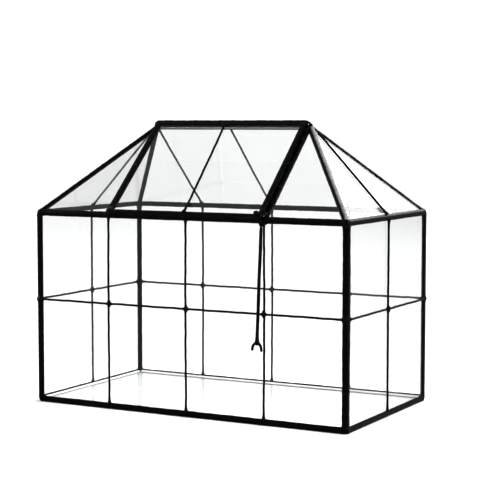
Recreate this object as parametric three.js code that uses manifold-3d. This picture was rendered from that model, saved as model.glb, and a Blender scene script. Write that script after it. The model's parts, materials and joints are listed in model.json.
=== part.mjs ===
// Glass cloche: a house-shaped case of clear panes held in soldered black came, with a
// hinged lid over the front roof opening and a forked prop rod hanging beside it.
// Millimetres, +Z up, front towards -Y. The origin is under the middle of the case, on the
// surface it stands on.
import * as THREE from 'three';
import { mergeVertices } from 'three/addons/utils/BufferGeometryUtils.js';
import Module from 'manifold-3d';

const wasm = await Module();
wasm.setup();

// ---- driving dimensions -------------------------------------------------------------
const CASE_LENGTH = 250; // over the corner posts, along X
const CASE_WIDTH = 139; // over the corner posts, along Y
const EAVES_HEIGHT = 140; // outer glass corner where wall and roof meet
const RIDGE_HEIGHT = 202.9; // outer glass corner along the ridge
const RIDGE_LENGTH = 128; // between the two hip peaks
const BELT_HEIGHT = 76; // belt wire round the walls

const GLASS = 2; // pane thickness
const GAP = 0.3; // between separate pieces that touch
const WIRE_END = 0.6; // between a wire's end and the came it runs up to
const SLOT_PLAY = 0.2; // between a pane and the slot that holds it
const WEB = 0.7; // came left between the edges of two panes

const CAME_PROUD = 0.7; // came outside the glass
const CAME_INNER = 0.9; // came inside the glass
const POST_LEG = 4.2;
const BASE_LEG = 4.8;
const EAVES_LEG = 2.7;
const HIP_LEG = 2.4;
const RIDGE_LEG = 3;
const INNER_LEG = 3;

const WIRE_RADIUS = 0.8; // lattice wires over the panes
const DOT_RADIUS = 2.3; // solder beads where the belt crosses a wire
const BUMP_RADIUS = 2.2; // solder beads where the belt meets a post
const FRONT_WIRE_DRIFT = [0.4, 1.7, 0.3]; // hand-placed wires, off even quarters
const BACK_WIRE_DRIFT = [-1.6, -2.2, -0.4];
const LEFT_WIRE_DRIFT = 1.2;
const RIGHT_WIRE_DRIFT = -2;

const JAMB_INSIDE = 3.4; // bar beside the lid opening, in from the ridge peak
const JAMB_OUTSIDE = 1.8;
const JAMB_PROUD = 1.2;
const JAMB_SEAT = 1.2; // how far a side pane enters its jamb

const LID_MARGIN = 1.7; // the lid's edge, in from the ridge peak
const LID_SKIN = 0.6; // lid frame over each face of its pane
const STILE_WIDTH = 4.2;
const RAIL_WIDTH = 3.2;
const LID_OVERHANG = 1.6; // lid past the outer glass corner at the eaves
const LID_SEAT = 1; // how far the lid pane enters its frame
const LID_WIRE_TOP = -2.5; // the lid's middle wire leans a little
const LID_WIRE_FOOT = 1.8;
const LID_WIRE_RADIUS = 0.7;

const PIN_RADIUS = 0.8; // hinge wire
const TUBE_RADIUS = 2;
const TUBE_PLAY = 0.3;
const PIN_RETURN = 1.6; // pin's turned-down ends, out from the lid's edge

const KNOB_RADIUS = 2.1;
const KNOB_FROM_EDGE = 2.6; // in from the lid's right edge
const KNOB_WIRE = 0.7;
const PEG_LENGTH = 3.9; // peg under the knob that the fork takes

const STAPLE_REACH = 3.9; // prop pivot, out from the front came
const STAPLE_DROP = 2.8; // prop pivot, below the eaves corner
const STAPLE_HALF = 1.5;
const STAPLE_WIRE = 0.6;
const EYE_WIRE = 0.6;
const EYE_PLAY = 0.35;
const ROD_RADIUS = 1.15;
const ROD_LENGTH = 81; // pivot to the crotch of the fork
const ROD_OFF_KNOB = 3.1; // the pivot lies this far to the right of the knob
const PRONG_RADIUS = 0.65;
const PRONG_SPREAD = 3.4;
const PRONG_DEPTH = 5;
const FORK_TAPER = 4;

const ROUND = 16; // sides of a round wire

// ---- materials ----------------------------------------------------------------------
const came = new THREE.MeshStandardMaterial({ color: 0x111111, roughness: 0.35, metalness: 0.6 });
const wireMetal = new THREE.MeshStandardMaterial({ color: 0x161616, roughness: 0.4, metalness: 0.6 });
const rodMetal = new THREE.MeshStandardMaterial({ color: 0x141414, roughness: 0.3, metalness: 0.7 });
const glass = new THREE.MeshStandardMaterial({
  color: 0xf2f6f5, roughness: 0.05, metalness: 0, transparent: true, opacity: 0.35,
});

// ---- vectors and solids -------------------------------------------------------------
const vec = (x, y, z) => new THREE.Vector3(x, y, z);
const along = (p, direction, distance) => p.clone().addScaledVector(direction, distance);

function solid(geometry) {
  const bare = geometry.clone();
  bare.deleteAttribute('normal');
  bare.deleteAttribute('uv');
  const merged = mergeVertices(bare, 1e-5);
  return new wasm.Manifold(new wasm.Mesh({
    numProp: 3,
    vertProperties: Float32Array.from(merged.attributes.position.array),
    triVerts: Uint32Array.from(merged.index.array),
  }));
}

// A flat outline of points in space, carried along a direction square to it.
function prism(outline, direction, length) {
  const z = direction.clone().normalize();
  const x = outline[1].clone().sub(outline[0]).normalize();
  const y = z.clone().cross(x);
  const flat = outline.map((p) => {
    const offset = p.clone().sub(outline[0]);
    return new THREE.Vector2(offset.dot(x), offset.dot(y));
  });
  const geometry = new THREE.ExtrudeGeometry(new THREE.Shape(flat), { depth: length, bevelEnabled: false });
  geometry.applyMatrix4(new THREE.Matrix4().makeBasis(x, y, z).setPosition(outline[0]));
  return solid(geometry);
}

function ball(centre, radius) {
  return solid(new THREE.SphereGeometry(radius, ROUND, ROUND / 2)).translate(centre.toArray());
}

// Round bars from point to point, with a ball in each corner.
function wire(points, radius) {
  let body = null;
  for (let i = 0; i + 1 < points.length; i += 1) {
    const run = points[i + 1].clone().sub(points[i]);
    const geometry = new THREE.CylinderGeometry(radius, radius, run.length(), ROUND);
    const turn = new THREE.Quaternion().setFromUnitVectors(vec(0, 1, 0), run.clone().normalize());
    geometry.applyQuaternion(turn);
    geometry.translate(...along(points[i], run, 0.5).toArray());
    const bar = solid(geometry);
    body = body ? body.add(bar).add(ball(points[i], radius)) : bar;
  }
  return body;
}

const group = new THREE.Group();

function place(name, body, material) {
  const { vertProperties, triVerts } = body.getMesh();
  const geometry = new THREE.BufferGeometry();
  geometry.setAttribute('position', new THREE.BufferAttribute(Float32Array.from(vertProperties), 3));
  geometry.setIndex(new THREE.BufferAttribute(Uint32Array.from(triVerts), 1));
  geometry.computeVertexNormals();
  const mesh = new THREE.Mesh(geometry, material);
  mesh.name = name;
  group.add(mesh);
}

const cut = (body, ...tools) => tools.reduce((rest, tool) => rest.subtract(tool), body);

// ---- the case as flat faces meeting at edges ----------------------------------------
const halfLength = CASE_LENGTH / 2 - CAME_PROUD;
const halfWidth = CASE_WIDTH / 2 - CAME_PROUD;
const halfRidge = RIDGE_LENGTH / 2;
const floorZ = CAME_PROUD;

const base = (sx, sy) => vec(sx * halfLength, sy * halfWidth, floorZ);
const eaves = (sx, sy) => vec(sx * halfLength, sy * halfWidth, EAVES_HEIGHT);
const peak = (sx) => vec(sx * halfRidge, 0, RIDGE_HEIGHT);

// Unit normal of a face through three corners, turned away from the middle of the case.
function outward(a, b, c) {
  const normal = b.clone().sub(a).cross(c.clone().sub(a)).normalize();
  const middle = vec(0, 0, EAVES_HEIGHT / 2);
  return normal.dot(a.clone().sub(middle)) > 0 ? normal : normal.negate();
}

const normals = {
  floor: vec(0, 0, -1),
  front: vec(0, -1, 0),
  back: vec(0, 1, 0),
  left: vec(-1, 0, 0),
  right: vec(1, 0, 0),
  roofFront: outward(eaves(-1, -1), eaves(1, -1), peak(1)),
  roofBack: outward(eaves(-1, 1), eaves(1, 1), peak(1)),
  roofLeft: outward(eaves(-1, -1), eaves(-1, 1), peak(-1)),
  roofRight: outward(eaves(1, -1), eaves(1, 1), peak(1)),
};
const upFront = vec(0, halfWidth, RIDGE_HEIGHT - EAVES_HEIGHT).normalize();
const upBack = vec(0, -halfWidth, RIDGE_HEIGHT - EAVES_HEIGHT).normalize();
const slopeLength = Math.hypot(halfWidth, RIDGE_HEIGHT - EAVES_HEIGHT);
const endRun = halfLength - halfRidge;
const endSlope = Math.hypot(endRun, RIDGE_HEIGHT - EAVES_HEIGHT);

// How far a pane stops short of the glass corner where two faces meet, so that a web of
// came is left between the pane edges on the inside of the corner.
function edgeInset(n1, n2) {
  const half = (Math.PI - Math.acos(n1.dot(n2))) / 2;
  return (GLASS + SLOT_PLAY) / Math.tan(half) + SLOT_PLAY + WEB / (2 * Math.sin(half));
}

// A came bar along the edge from p to q between two faces: a chevron with a leg on the
// outside and the inside of each face. grow makes the same bar larger all round.
function cameBar(p, q, n1, n2, leg, innerLeg, grow = 0) {
  const run = q.clone().sub(p);
  const direction = run.clone().normalize();
  const apexPull = 1 / (1 + n1.dot(n2));
  const sum = n1.clone().add(n2);
  const inside = GLASS + CAME_INNER;
  const sides = [[n1, n2], [n2, n1]].map(([normal, other]) => {
    const tangent = direction.clone().cross(normal).normalize();
    if (tangent.dot(other) > 0) tangent.negate(); // into its own face, behind the other one
    const apexAlong = sum.dot(tangent) * apexPull;
    const outer = normal.clone().multiplyScalar(CAME_PROUD + grow)
      .addScaledVector(tangent, CAME_PROUD * apexAlong + leg + grow);
    const inner = normal.clone().multiplyScalar(-inside - grow)
      .addScaledVector(tangent, -inside * apexAlong + innerLeg + 2 * grow);
    return { outer, inner };
  });
  const apex = sum.clone().multiplyScalar((CAME_PROUD + grow) * apexPull);
  const heel = sum.clone().multiplyScalar((-inside - grow) * apexPull);
  const start = along(p, direction, -grow);
  const outline = [apex, sides[0].outer, sides[0].inner, heel, sides[1].inner, sides[1].outer]
    .map((offset) => offset.add(start));
  return prism(outline, direction, run.length() + 2 * grow);
}

// A pane in the face through the corners, each side drawn in by its own inset.
function pane(corners, insets, normal, grow = 0) {
  const count = corners.length;
  const centre = corners.reduce((sum, c) => sum.add(c), vec(0, 0, 0)).divideScalar(count);
  const inwards = corners.map((corner, i) => {
    const side = corners[(i + 1) % count].clone().sub(corner).normalize();
    const inward = side.cross(normal);
    return inward.dot(centre.clone().sub(corner)) > 0 ? inward : inward.negate();
  });
  const outline = corners.map((corner, i) => {
    const before = (i + count - 1) % count;
    const cosine = inwards[before].dot(inwards[i]);
    const a = insets[before] - grow;
    const b = insets[i] - grow;
    const scale = 1 / (1 - cosine * cosine);
    return along(corner, inwards[before], (a - b * cosine) * scale)
      .addScaledVector(inwards[i], (b - a * cosine) * scale)
      .addScaledVector(normal, grow);
  });
  return prism(outline, normal.clone().negate(), GLASS + 2 * grow);
}

// ---- panes --------------------------------------------------------------------------
const n = normals;
const wallTop = edgeInset(n.front, n.roofFront);
const endTop = edgeInset(n.left, n.roofLeft);
const square = edgeInset(n.front, n.left);
const hipInset = edgeInset(n.roofFront, n.roofLeft);
const ridgeInset = edgeInset(n.roofFront, n.roofBack);
const jambInset = JAMB_OUTSIDE - JAMB_SEAT;
const jambFoot = (sx) => vec(sx * halfRidge, -halfWidth, EAVES_HEIGHT);

const fourSquare = [square, square, square, square];
const paneSpecs = {
  floor_pane: [[base(-1, -1), base(1, -1), base(1, 1), base(-1, 1)], fourSquare, n.floor],
  front_pane: [
    [base(-1, -1), base(1, -1), eaves(1, -1), eaves(-1, -1)],
    [square, square, wallTop, square],
    n.front,
  ],
  back_pane: [
    [base(-1, 1), base(1, 1), eaves(1, 1), eaves(-1, 1)],
    [square, square, wallTop, square],
    n.back,
  ],
  left_pane: [
    [base(-1, -1), base(-1, 1), eaves(-1, 1), eaves(-1, -1)],
    [square, square, endTop, square],
    n.left,
  ],
  right_pane: [
    [base(1, -1), base(1, 1), eaves(1, 1), eaves(1, -1)],
    [square, square, endTop, square],
    n.right,
  ],
  roof_back_pane: [
    [eaves(-1, 1), eaves(1, 1), peak(1), peak(-1)],
    [wallTop, hipInset, ridgeInset, hipInset],
    n.roofBack,
  ],
  roof_left_pane: [
    [eaves(-1, -1), eaves(-1, 1), peak(-1)],
    [endTop, hipInset, hipInset],
    n.roofLeft,
  ],
  roof_right_pane: [
    [eaves(1, -1), eaves(1, 1), peak(1)],
    [endTop, hipInset, hipInset],
    n.roofRight,
  ],
  roof_front_left_pane: [
    [eaves(-1, -1), jambFoot(-1), peak(-1)],
    [wallTop, jambInset, hipInset],
    n.roofFront,
  ],
  roof_front_right_pane: [
    [eaves(1, -1), jambFoot(1), peak(1)],
    [wallTop, jambInset, hipInset],
    n.roofFront,
  ],
};
const slots = {};
for (const [name, spec] of Object.entries(paneSpecs)) {
  place(name, pane(...spec), glass);
  slots[name] = pane(...spec, SLOT_PLAY);
}
const allSlots = Object.values(slots);

// ---- came frame ---------------------------------------------------------------------
// Front and back rails run right through at the corners; everything else butts on them.
const through = (p, sx) => along(p, vec(sx, 0, 0), CAME_PROUD);
const wallInside = GLASS + CAME_INNER + GAP;
const between = (p, sy) => along(p, vec(0, -sy, 0), wallInside);
const railSpecs = {};
for (const [side, sy] of [['front', -1], ['back', 1]]) {
  const roof = sy < 0 ? n.roofFront : n.roofBack;
  railSpecs[`base_rail_${side}`] = [
    through(base(-1, sy), -1), through(base(1, sy), 1), n[side], n.floor, BASE_LEG, INNER_LEG];
  railSpecs[`eaves_rail_${side}`] = [
    through(eaves(-1, sy), -1), through(eaves(1, sy), 1), n[side], roof, EAVES_LEG, INNER_LEG];
}
const longRails = Object.values(railSpecs).map((spec) => cameBar(...spec, GAP));
for (const [side, sx] of [['left', -1], ['right', 1]]) {
  const roof = sx < 0 ? n.roofLeft : n.roofRight;
  railSpecs[`base_rail_${side}`] = [
    between(base(sx, -1), -1), between(base(sx, 1), 1), n[side], n.floor, BASE_LEG, INNER_LEG];
  railSpecs[`eaves_rail_${side}`] = [
    between(eaves(sx, -1), -1), between(eaves(sx, 1), 1), n[side], roof, EAVES_LEG, INNER_LEG];
}
const allRails = Object.values(railSpecs).map((spec) => cameBar(...spec, GAP));
for (const [name, spec] of Object.entries(railSpecs)) {
  const stops = name.endsWith('left') || name.endsWith('right') ? longRails : [];
  place(name, cut(cameBar(...spec), ...allSlots, ...stops), came);
}

for (const [lr, sx] of [['left', -1], ['right', 1]]) {
  for (const [fb, sy] of [['front', -1], ['back', 1]]) {
    const foot = base(sx, sy).setZ(BASE_LEG + GAP);
    const head = eaves(sx, sy).setZ(EAVES_HEIGHT - EAVES_LEG);
    const post = cameBar(foot, head, n[fb], n[lr], POST_LEG, INNER_LEG)
      .add(ball(vec(sx * halfLength, sy * halfWidth, BELT_HEIGHT), BUMP_RADIUS));
    place(`post_${fb}_${lr}`, cut(post, ...allSlots, ...allRails), came);
  }
}

const ridgeSpec = [peak(-1), peak(1), n.roofFront, n.roofBack, RIDGE_LEG, INNER_LEG];
const ridgeGrown = cameBar(...ridgeSpec, GAP);
place('ridge_bar', cut(cameBar(...ridgeSpec), ...allSlots), came);

// Front and back hips meet on the middle plane at each peak.
const hipsGrown = [];
for (const [lr, sx] of [['left', -1], ['right', 1]]) {
  for (const [fb, sy] of [['front', -1], ['back', 1]]) {
    const slope = sy < 0 ? n.roofFront : n.roofBack;
    const run = peak(sx).sub(eaves(sx, sy)).normalize();
    const foot = along(eaves(sx, sy), run, EAVES_LEG);
    const spec = [foot, peak(sx), slope, sx < 0 ? n.roofLeft : n.roofRight, HIP_LEG, INNER_LEG];
    const beyond = solid(new THREE.BoxGeometry(CASE_LENGTH, CASE_WIDTH, RIDGE_HEIGHT))
      .translate([sx * halfRidge, sy * (GAP - CASE_WIDTH) / 2, RIDGE_HEIGHT]);
    place(`hip_${fb}_${lr}`, cut(cameBar(...spec), ...allSlots, ...allRails, ridgeGrown, beyond), came);
    hipsGrown.push(cameBar(...spec, GAP));
  }
}

// ---- places on a sloping face -------------------------------------------------------
// x across, v up the slope from the glass corner at the eaves, w out from the glass.
const onFront = (x, v, w) => along(along(vec(x, -halfWidth, EAVES_HEIGHT), upFront, v), n.roofFront, w);
const onBack = (x, v, w) => along(along(vec(x, halfWidth, EAVES_HEIGHT), upBack, v), n.roofBack, w);

// A bar of rectangular section on the front slope.
function slopeBar(x0, x1, v0, v1, w0, w1) {
  const outline = [onFront(x0, v0, w0), onFront(x1, v0, w0), onFront(x1, v0, w1), onFront(x0, v0, w1)];
  return prism(outline, upFront, v1 - v0);
}

for (const [side, sx] of [['left', -1], ['right', 1]]) {
  const edges = [sx * (halfRidge - JAMB_INSIDE), sx * (halfRidge + JAMB_OUTSIDE)];
  const jamb = slopeBar(...edges, 0, slopeLength - RIDGE_LEG - GAP, -GLASS - CAME_INNER, JAMB_PROUD);
  place(`jamb_${side}`, cut(jamb, ...allSlots, ...allRails, ridgeGrown, ...hipsGrown), came);
}

// ---- lattice wires ------------------------------------------------------------------
const wireOut = GAP + WIRE_RADIUS; // wire centre, out from the glass
const wireFoot = BASE_LEG + WIRE_END;
const wireHead = (normal, roof) => {
  const apexLift = CAME_PROUD * normal.clone().add(roof).z / (1 + normal.dot(roof));
  return EAVES_HEIGHT + apexLift - EAVES_LEG - WIRE_END;
};
const roofStart = (normal, roof) => {
  const apexDrop = CAME_PROUD * Math.sqrt((1 - normal.dot(roof)) / (1 + normal.dot(roof)));
  return EAVES_LEG - apexDrop + WIRE_END;
};
const quarter = CASE_LENGTH / 4;
const frontWires = FRONT_WIRE_DRIFT.map((drift, i) => (i - 1) * quarter + drift);
const backWires = BACK_WIRE_DRIFT.map((drift, i) => (i - 1) * quarter + drift);
const spots = ['left', 'middle', 'right'];

// Upright wires: [name, point on the glass, face normal, roof normal above it].
const uprights = [
  ...frontWires.map((x, i) => [`front_wire_${spots[i]}`, vec(x, -halfWidth, 0), n.front, n.roofFront]),
  ...backWires.map((x, i) => [`back_wire_${spots[i]}`, vec(x, halfWidth, 0), n.back, n.roofBack]),
  ['left_wire', vec(-halfLength, LEFT_WIRE_DRIFT, 0), n.left, n.roofLeft],
  ['right_wire', vec(halfLength, RIGHT_WIRE_DRIFT, 0), n.right, n.roofRight],
];
const uprightCores = [];
for (const [name, foot, normal, roof] of uprights) {
  const line = along(foot, normal, wireOut);
  const ends = [line.clone().setZ(wireFoot), line.clone().setZ(wireHead(normal, roof))];
  place(name, wire(ends, WIRE_RADIUS), wireMetal);
  uprightCores.push({ line, normal, core: wire(ends, WIRE_RADIUS + GAP) });
}

// The belt is one wire per wall between the posts, with a bead gripping each upright.
const beltStop = POST_LEG - CAME_PROUD + WIRE_END;
for (const [side, normal] of [['front', n.front], ['back', n.back], ['left', n.left], ['right', n.right]]) {
  const reach = Math.abs(normal.x) > 0 ? halfWidth : halfLength;
  const across = vec(Math.abs(normal.y), Math.abs(normal.x), 0);
  const face = Math.abs(normal.x) > 0 ? halfLength : halfWidth;
  const middle = along(vec(0, 0, BELT_HEIGHT), normal, face + wireOut);
  const beltEnds = [-1, 1].map((sign) => along(middle, across, sign * (reach - beltStop)));
  let belt = wire(beltEnds, WIRE_RADIUS);
  const crossed = uprightCores.filter((u) => u.normal === normal);
  for (const { line } of crossed) belt = belt.add(ball(line.clone().setZ(BELT_HEIGHT), DOT_RADIUS));
  const wall = along(vec(0, 0, BELT_HEIGHT), normal, face + GAP - DOT_RADIUS);
  const skin = solid(new THREE.BoxGeometry(
    Math.abs(normal.x) > 0 ? 2 * DOT_RADIUS : 2 * reach,
    Math.abs(normal.x) > 0 ? 2 * reach : 2 * DOT_RADIUS,
    4 * DOT_RADIUS)).translate(wall.toArray());
  place(`belt_${side}`, cut(belt, skin, ...crossed.map((u) => u.core)), wireMetal);
}

// Roof wires run from the eaves came to the ridge came, or to the hip where it is lower.
const hipClear = HIP_LEG + WIRE_END + WIRE_RADIUS;
function slopeTop(x) {
  const beyond = Math.max(0, Math.abs(x) + hipClear - halfRidge);
  return Math.min(slopeLength - RIDGE_LEG - WIRE_END, slopeLength * (1 - beyond / endRun));
}
backWires.forEach((x, i) => {
  const ends = [onBack(x, roofStart(n.back, n.roofBack), wireOut), onBack(x, slopeTop(x), wireOut)];
  place(`roof_wire_back_${spots[i]}`, wire(ends, WIRE_RADIUS), wireMetal);
});
for (const [side, sx, drift] of [['left', -1, LEFT_WIRE_DRIFT], ['right', 1, RIGHT_WIRE_DRIFT]]) {
  const normal = sx < 0 ? n.roofLeft : n.roofRight;
  const foot = vec(sx * halfLength, drift, EAVES_HEIGHT);
  const up = peak(sx).sub(foot).normalize();
  const top = endSlope * (1 - 2 * hipClear / halfWidth);
  const lift = (distance) => along(along(foot, up, distance), normal, wireOut);
  const wall = sx < 0 ? n.left : n.right;
  place(`roof_wire_${side}`, wire([lift(roofStart(wall, normal)), lift(top)], WIRE_RADIUS), wireMetal);
}

// ---- lid ----------------------------------------------------------------------------
const lidHalf = halfRidge - LID_MARGIN;
const lidLow = JAMB_PROUD + GAP;
const lidHigh = lidLow + GLASS + 2 * LID_SKIN;
const lidMid = (lidLow + lidHigh) / 2;
const lidFoot = -LID_OVERHANG;
const pivotV = slopeLength;
const pivotW = CAME_PROUD + GAP + TUBE_RADIUS;
const railTop = lidFoot + RAIL_WIDTH;
const headLow = pivotV - TUBE_RADIUS - RAIL_WIDTH;
const stileIn = lidHalf - STILE_WIDTH;

function lidPane(grow) {
  const x = stileIn + LID_SEAT + grow;
  return slopeBar(-x, x, railTop - LID_SEAT - grow, headLow + LID_SEAT + grow,
    lidMid - GLASS / 2 - grow, lidMid + GLASS / 2 + grow);
}
place('lid_pane', lidPane(0), glass);
const lidSlot = lidPane(SLOT_PLAY);

const knobX = lidHalf - KNOB_FROM_EDGE;
const knobV = lidFoot / 2 + 0.2;
const knobCentre = onFront(knobX, knobV, lidHigh + 0.8 * KNOB_RADIUS);
const pegHead = onFront(knobX, knobV, lidMid - KNOB_WIRE / 2);
const pegTip = along(pegHead, vec(0, 0, -1), PEG_LENGTH);
const knobWire = (radius) => wire([knobCentre, pegHead, pegTip], radius);
place('lid_knob', knobWire(KNOB_WIRE).add(cut(ball(knobCentre, KNOB_RADIUS),
  slopeBar(knobX - 5, knobX + 5, lidFoot - 5, railTop + 5, lidLow, lidHigh + GAP))), rodMetal);

const lidRail = slopeBar(-lidHalf, lidHalf, lidFoot, railTop, lidLow, lidHigh);
place('lid_bottom_rail', cut(lidRail, lidSlot, knobWire(KNOB_WIRE + GAP)), came);
for (const [side, sx] of [['left', -1], ['right', 1]]) {
  const stile = slopeBar(sx * stileIn, sx * lidHalf, railTop + GAP, headLow - GAP, lidLow, lidHigh);
  place(`lid_stile_${side}`, cut(stile, lidSlot), came);
}

const pivot = (x) => onFront(x, pivotV, pivotW);
const tube = wire([pivot(-lidHalf), pivot(lidHalf)], TUBE_RADIUS);
const head = slopeBar(-lidHalf, lidHalf, headLow, pivotV, lidLow, lidHigh);
const bore = wire([pivot(-lidHalf - 1), pivot(lidHalf + 1)], PIN_RADIUS + TUBE_PLAY);
place('lid_hinge_rail', cut(tube.add(head), lidSlot, bore), came);

const wireUp = lidMid + GLASS / 2 + GAP + LID_WIRE_RADIUS;
place('lid_wire', wire([
  onFront(LID_WIRE_FOOT, railTop + GAP, wireUp),
  onFront(LID_WIRE_TOP, headLow - GAP, wireUp),
], LID_WIRE_RADIUS), wireMetal);

// The hinge wire's ends turn down onto the ridge came.
const pinX = lidHalf + PIN_RETURN;
const pinDrop = (sx) => along(pivot(sx * pinX), n.roofFront, CAME_PROUD + GAP - pivotW);
const pin = wire([pinDrop(-1), pivot(-pinX), pivot(pinX), pinDrop(1)], PIN_RADIUS);
place('hinge_pin', cut(pin, ridgeGrown, ...hipsGrown), wireMetal);

// ---- prop rod -----------------------------------------------------------------------
const frontFace = -CASE_WIDTH / 2;
const propPivot = vec(knobX + ROD_OFF_KNOB, frontFace - STAPLE_REACH, EAVES_HEIGHT - STAPLE_DROP);
const stapleEnd = (sx) => vec(propPivot.x + sx * STAPLE_HALF, frontFace - GAP, propPivot.z + 1);
const stapleTurn = (sx) => vec(propPivot.x + sx * STAPLE_HALF, propPivot.y, propPivot.z);
const staplePath = [stapleEnd(-1), stapleTurn(-1), stapleTurn(1), stapleEnd(1)];
place('prop_staple', wire(staplePath, STAPLE_WIRE), wireMetal);

// The rod hangs by its eye, with its fork under the knob.
const eyeRadius = STAPLE_WIRE + EYE_PLAY + EYE_WIRE;
const eyeSection = new THREE.EllipseCurve(eyeRadius, 0, EYE_WIRE, EYE_WIRE).getPoints(12);
const eye = solid(new THREE.LatheGeometry(eyeSection, 24)).rotate([0, 0, 90])
  .translate(propPivot.toArray());
const rodLean = Math.asin((propPivot.x - knobX) / ROD_LENGTH);
const rodPoint = (distance, side) => vec(
  propPivot.x - distance * Math.sin(rodLean) + side * Math.cos(rodLean),
  propPivot.y,
  propPivot.z - distance * Math.cos(rodLean) - side * Math.sin(rodLean));
const shaft = wire([rodPoint(eyeRadius, 0), rodPoint(ROD_LENGTH - FORK_TAPER, 0)], ROD_RADIUS);
const prong = (side) => wire([
  rodPoint(ROD_LENGTH - FORK_TAPER, side * (ROD_RADIUS - PRONG_RADIUS)),
  rodPoint(ROD_LENGTH + PRONG_RADIUS, side * PRONG_SPREAD * 0.75),
  rodPoint(ROD_LENGTH + PRONG_DEPTH, side * PRONG_SPREAD),
], PRONG_RADIUS);
place('prop_rod', eye.add(shaft).add(prong(-1)).add(prong(1)), rodMetal);

export default group;
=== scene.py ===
# %% [markdown]
# # A glass cloche shaped like a small greenhouse
# The case is a box of clear panes under a hipped roof. Every edge is a strip of came, soldered
# and blackened by hand, and thin black wires are soldered over the panes. A lid opens along
# the ridge, and a forked rod hangs beside it to prop it up.
#
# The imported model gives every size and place. Here each metal piece is made again as a
# surface that looks worked by hand, and the panes keep their slabs and get their glass.

# %% Load the frame
import json

import bpy
import numpy as np
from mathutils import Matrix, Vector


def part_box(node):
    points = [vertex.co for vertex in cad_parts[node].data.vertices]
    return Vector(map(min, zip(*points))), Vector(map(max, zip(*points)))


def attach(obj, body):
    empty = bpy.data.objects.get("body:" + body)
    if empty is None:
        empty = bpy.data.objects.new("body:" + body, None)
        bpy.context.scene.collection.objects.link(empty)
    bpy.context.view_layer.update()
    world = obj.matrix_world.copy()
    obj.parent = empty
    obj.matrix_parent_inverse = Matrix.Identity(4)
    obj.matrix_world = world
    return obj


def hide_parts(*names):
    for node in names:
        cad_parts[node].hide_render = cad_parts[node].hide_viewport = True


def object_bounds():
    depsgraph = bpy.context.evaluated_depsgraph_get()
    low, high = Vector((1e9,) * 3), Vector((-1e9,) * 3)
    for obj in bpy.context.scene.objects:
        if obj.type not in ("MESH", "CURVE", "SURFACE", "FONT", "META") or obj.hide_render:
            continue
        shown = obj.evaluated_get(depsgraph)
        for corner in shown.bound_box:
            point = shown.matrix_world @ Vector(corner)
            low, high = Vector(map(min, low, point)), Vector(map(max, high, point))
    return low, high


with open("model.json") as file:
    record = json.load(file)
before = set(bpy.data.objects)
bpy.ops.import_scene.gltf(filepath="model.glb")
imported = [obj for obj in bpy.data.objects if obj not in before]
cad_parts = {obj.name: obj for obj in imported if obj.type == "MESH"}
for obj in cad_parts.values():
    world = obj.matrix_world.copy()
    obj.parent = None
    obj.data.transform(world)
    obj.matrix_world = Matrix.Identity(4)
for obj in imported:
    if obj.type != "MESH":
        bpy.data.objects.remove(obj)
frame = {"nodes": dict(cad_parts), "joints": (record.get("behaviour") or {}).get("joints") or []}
cad_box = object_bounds()
MM = 0.001
print("box of the packed model:", cad_box)

# %% [markdown]
# ## The camera
# A long lens from the front right, level with the ridge and looking slightly down. A short
# lens close by would show the same sides but splay the posts. The long one keeps them upright.
# It comes first, so that every later step can be looked at. The place is in metres, the turn
# and the dip in degrees, and the lens in mm.

# %% Camera
CAMERA_PLACE = (0.52457, -0.95163, 0.20471)
CAMERA_TURN = 28.553
CAMERA_DIP = 4.499
FOCAL_LENGTH = 111.39

camera_data = bpy.data.cameras.new("camera")
camera_data.lens = FOCAL_LENGTH
camera_data.sensor_width = 36
camera = bpy.data.objects.new("camera", camera_data)
camera.location = CAMERA_PLACE
camera.rotation_euler = np.radians((90 - CAMERA_DIP, 0, CAMERA_TURN))
bpy.context.collection.objects.link(camera)
bpy.context.scene.camera = camera
print("camera at", CAMERA_PLACE)

# %% [markdown]
# ## The corners of the glass
# A house shape is planes that meet. The corners could be typed in, but then a change of size
# would leave them behind. Each pane in the frame has one large outer face, and three such
# faces meet in a corner, so solving for the corners ties every strip to the panes it holds.

# %% Outer faces and corners
MIDDLE = np.array([0, 0, (cad_box[0][2] + cad_box[1][2]) / 2])


def outer_face(node):
    """(n, d) with n . p = d on a pane's outer face: its largest side that looks outwards."""
    mesh = frame["nodes"][node].data
    count = len(mesh.polygons)
    normals, centres, areas = np.empty(3 * count), np.empty(3 * count), np.empty(count)
    mesh.polygons.foreach_get("normal", normals)
    mesh.polygons.foreach_get("center", centres)
    mesh.polygons.foreach_get("area", areas)
    normals, centres = normals.reshape(-1, 3), centres.reshape(-1, 3)
    outwards = np.einsum("ij,ij->i", normals, centres - MIDDLE) > 0
    best = np.argmax(np.where(outwards, areas, 0))
    normal = normals[best] / np.linalg.norm(normals[best])
    return normal, normal @ centres[best]


WALLS = ("front", "back", "left", "right")
FACES = {name: outer_face(name + "_pane") for name in (
    "floor", *WALLS, "roof_back", "roof_left", "roof_right")}
FACES["roof_front"] = outer_face("roof_front_left_pane")
NORMAL = {name: face[0] for name, face in FACES.items()}


def meet(*names):
    """The point where three outer faces meet."""
    return np.linalg.solve([FACES[n][0] for n in names], [FACES[n][1] for n in names])


SIDES = ("left", "right")
ENDS = ("front", "back")
FOOT = {(e, s): meet("floor", e, s) for e in ENDS for s in SIDES}
EAVES = {(e, s): meet("roof_" + e, e, s) for e in ENDS for s in SIDES}
PEAK = {s: meet("roof_front", "roof_back", "roof_" + s) for s in SIDES}
print("eaves corner", EAVES["front", "left"], "peak", PEAK["left"])

# %% [markdown]
# ## Turning grids of points into pieces
# Metal bent, rolled or melted by hand has a section that changes as it goes along. Curve
# objects with a bevel give an even section, and sculpting can't follow a change of size. So
# every surface below is a grid of points from a formula: rows run along the piece and columns
# run round it. One helper wraps the grid in quads, closes its two ends, and turns it right
# side out by the sign of the volume it encloses.

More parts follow.
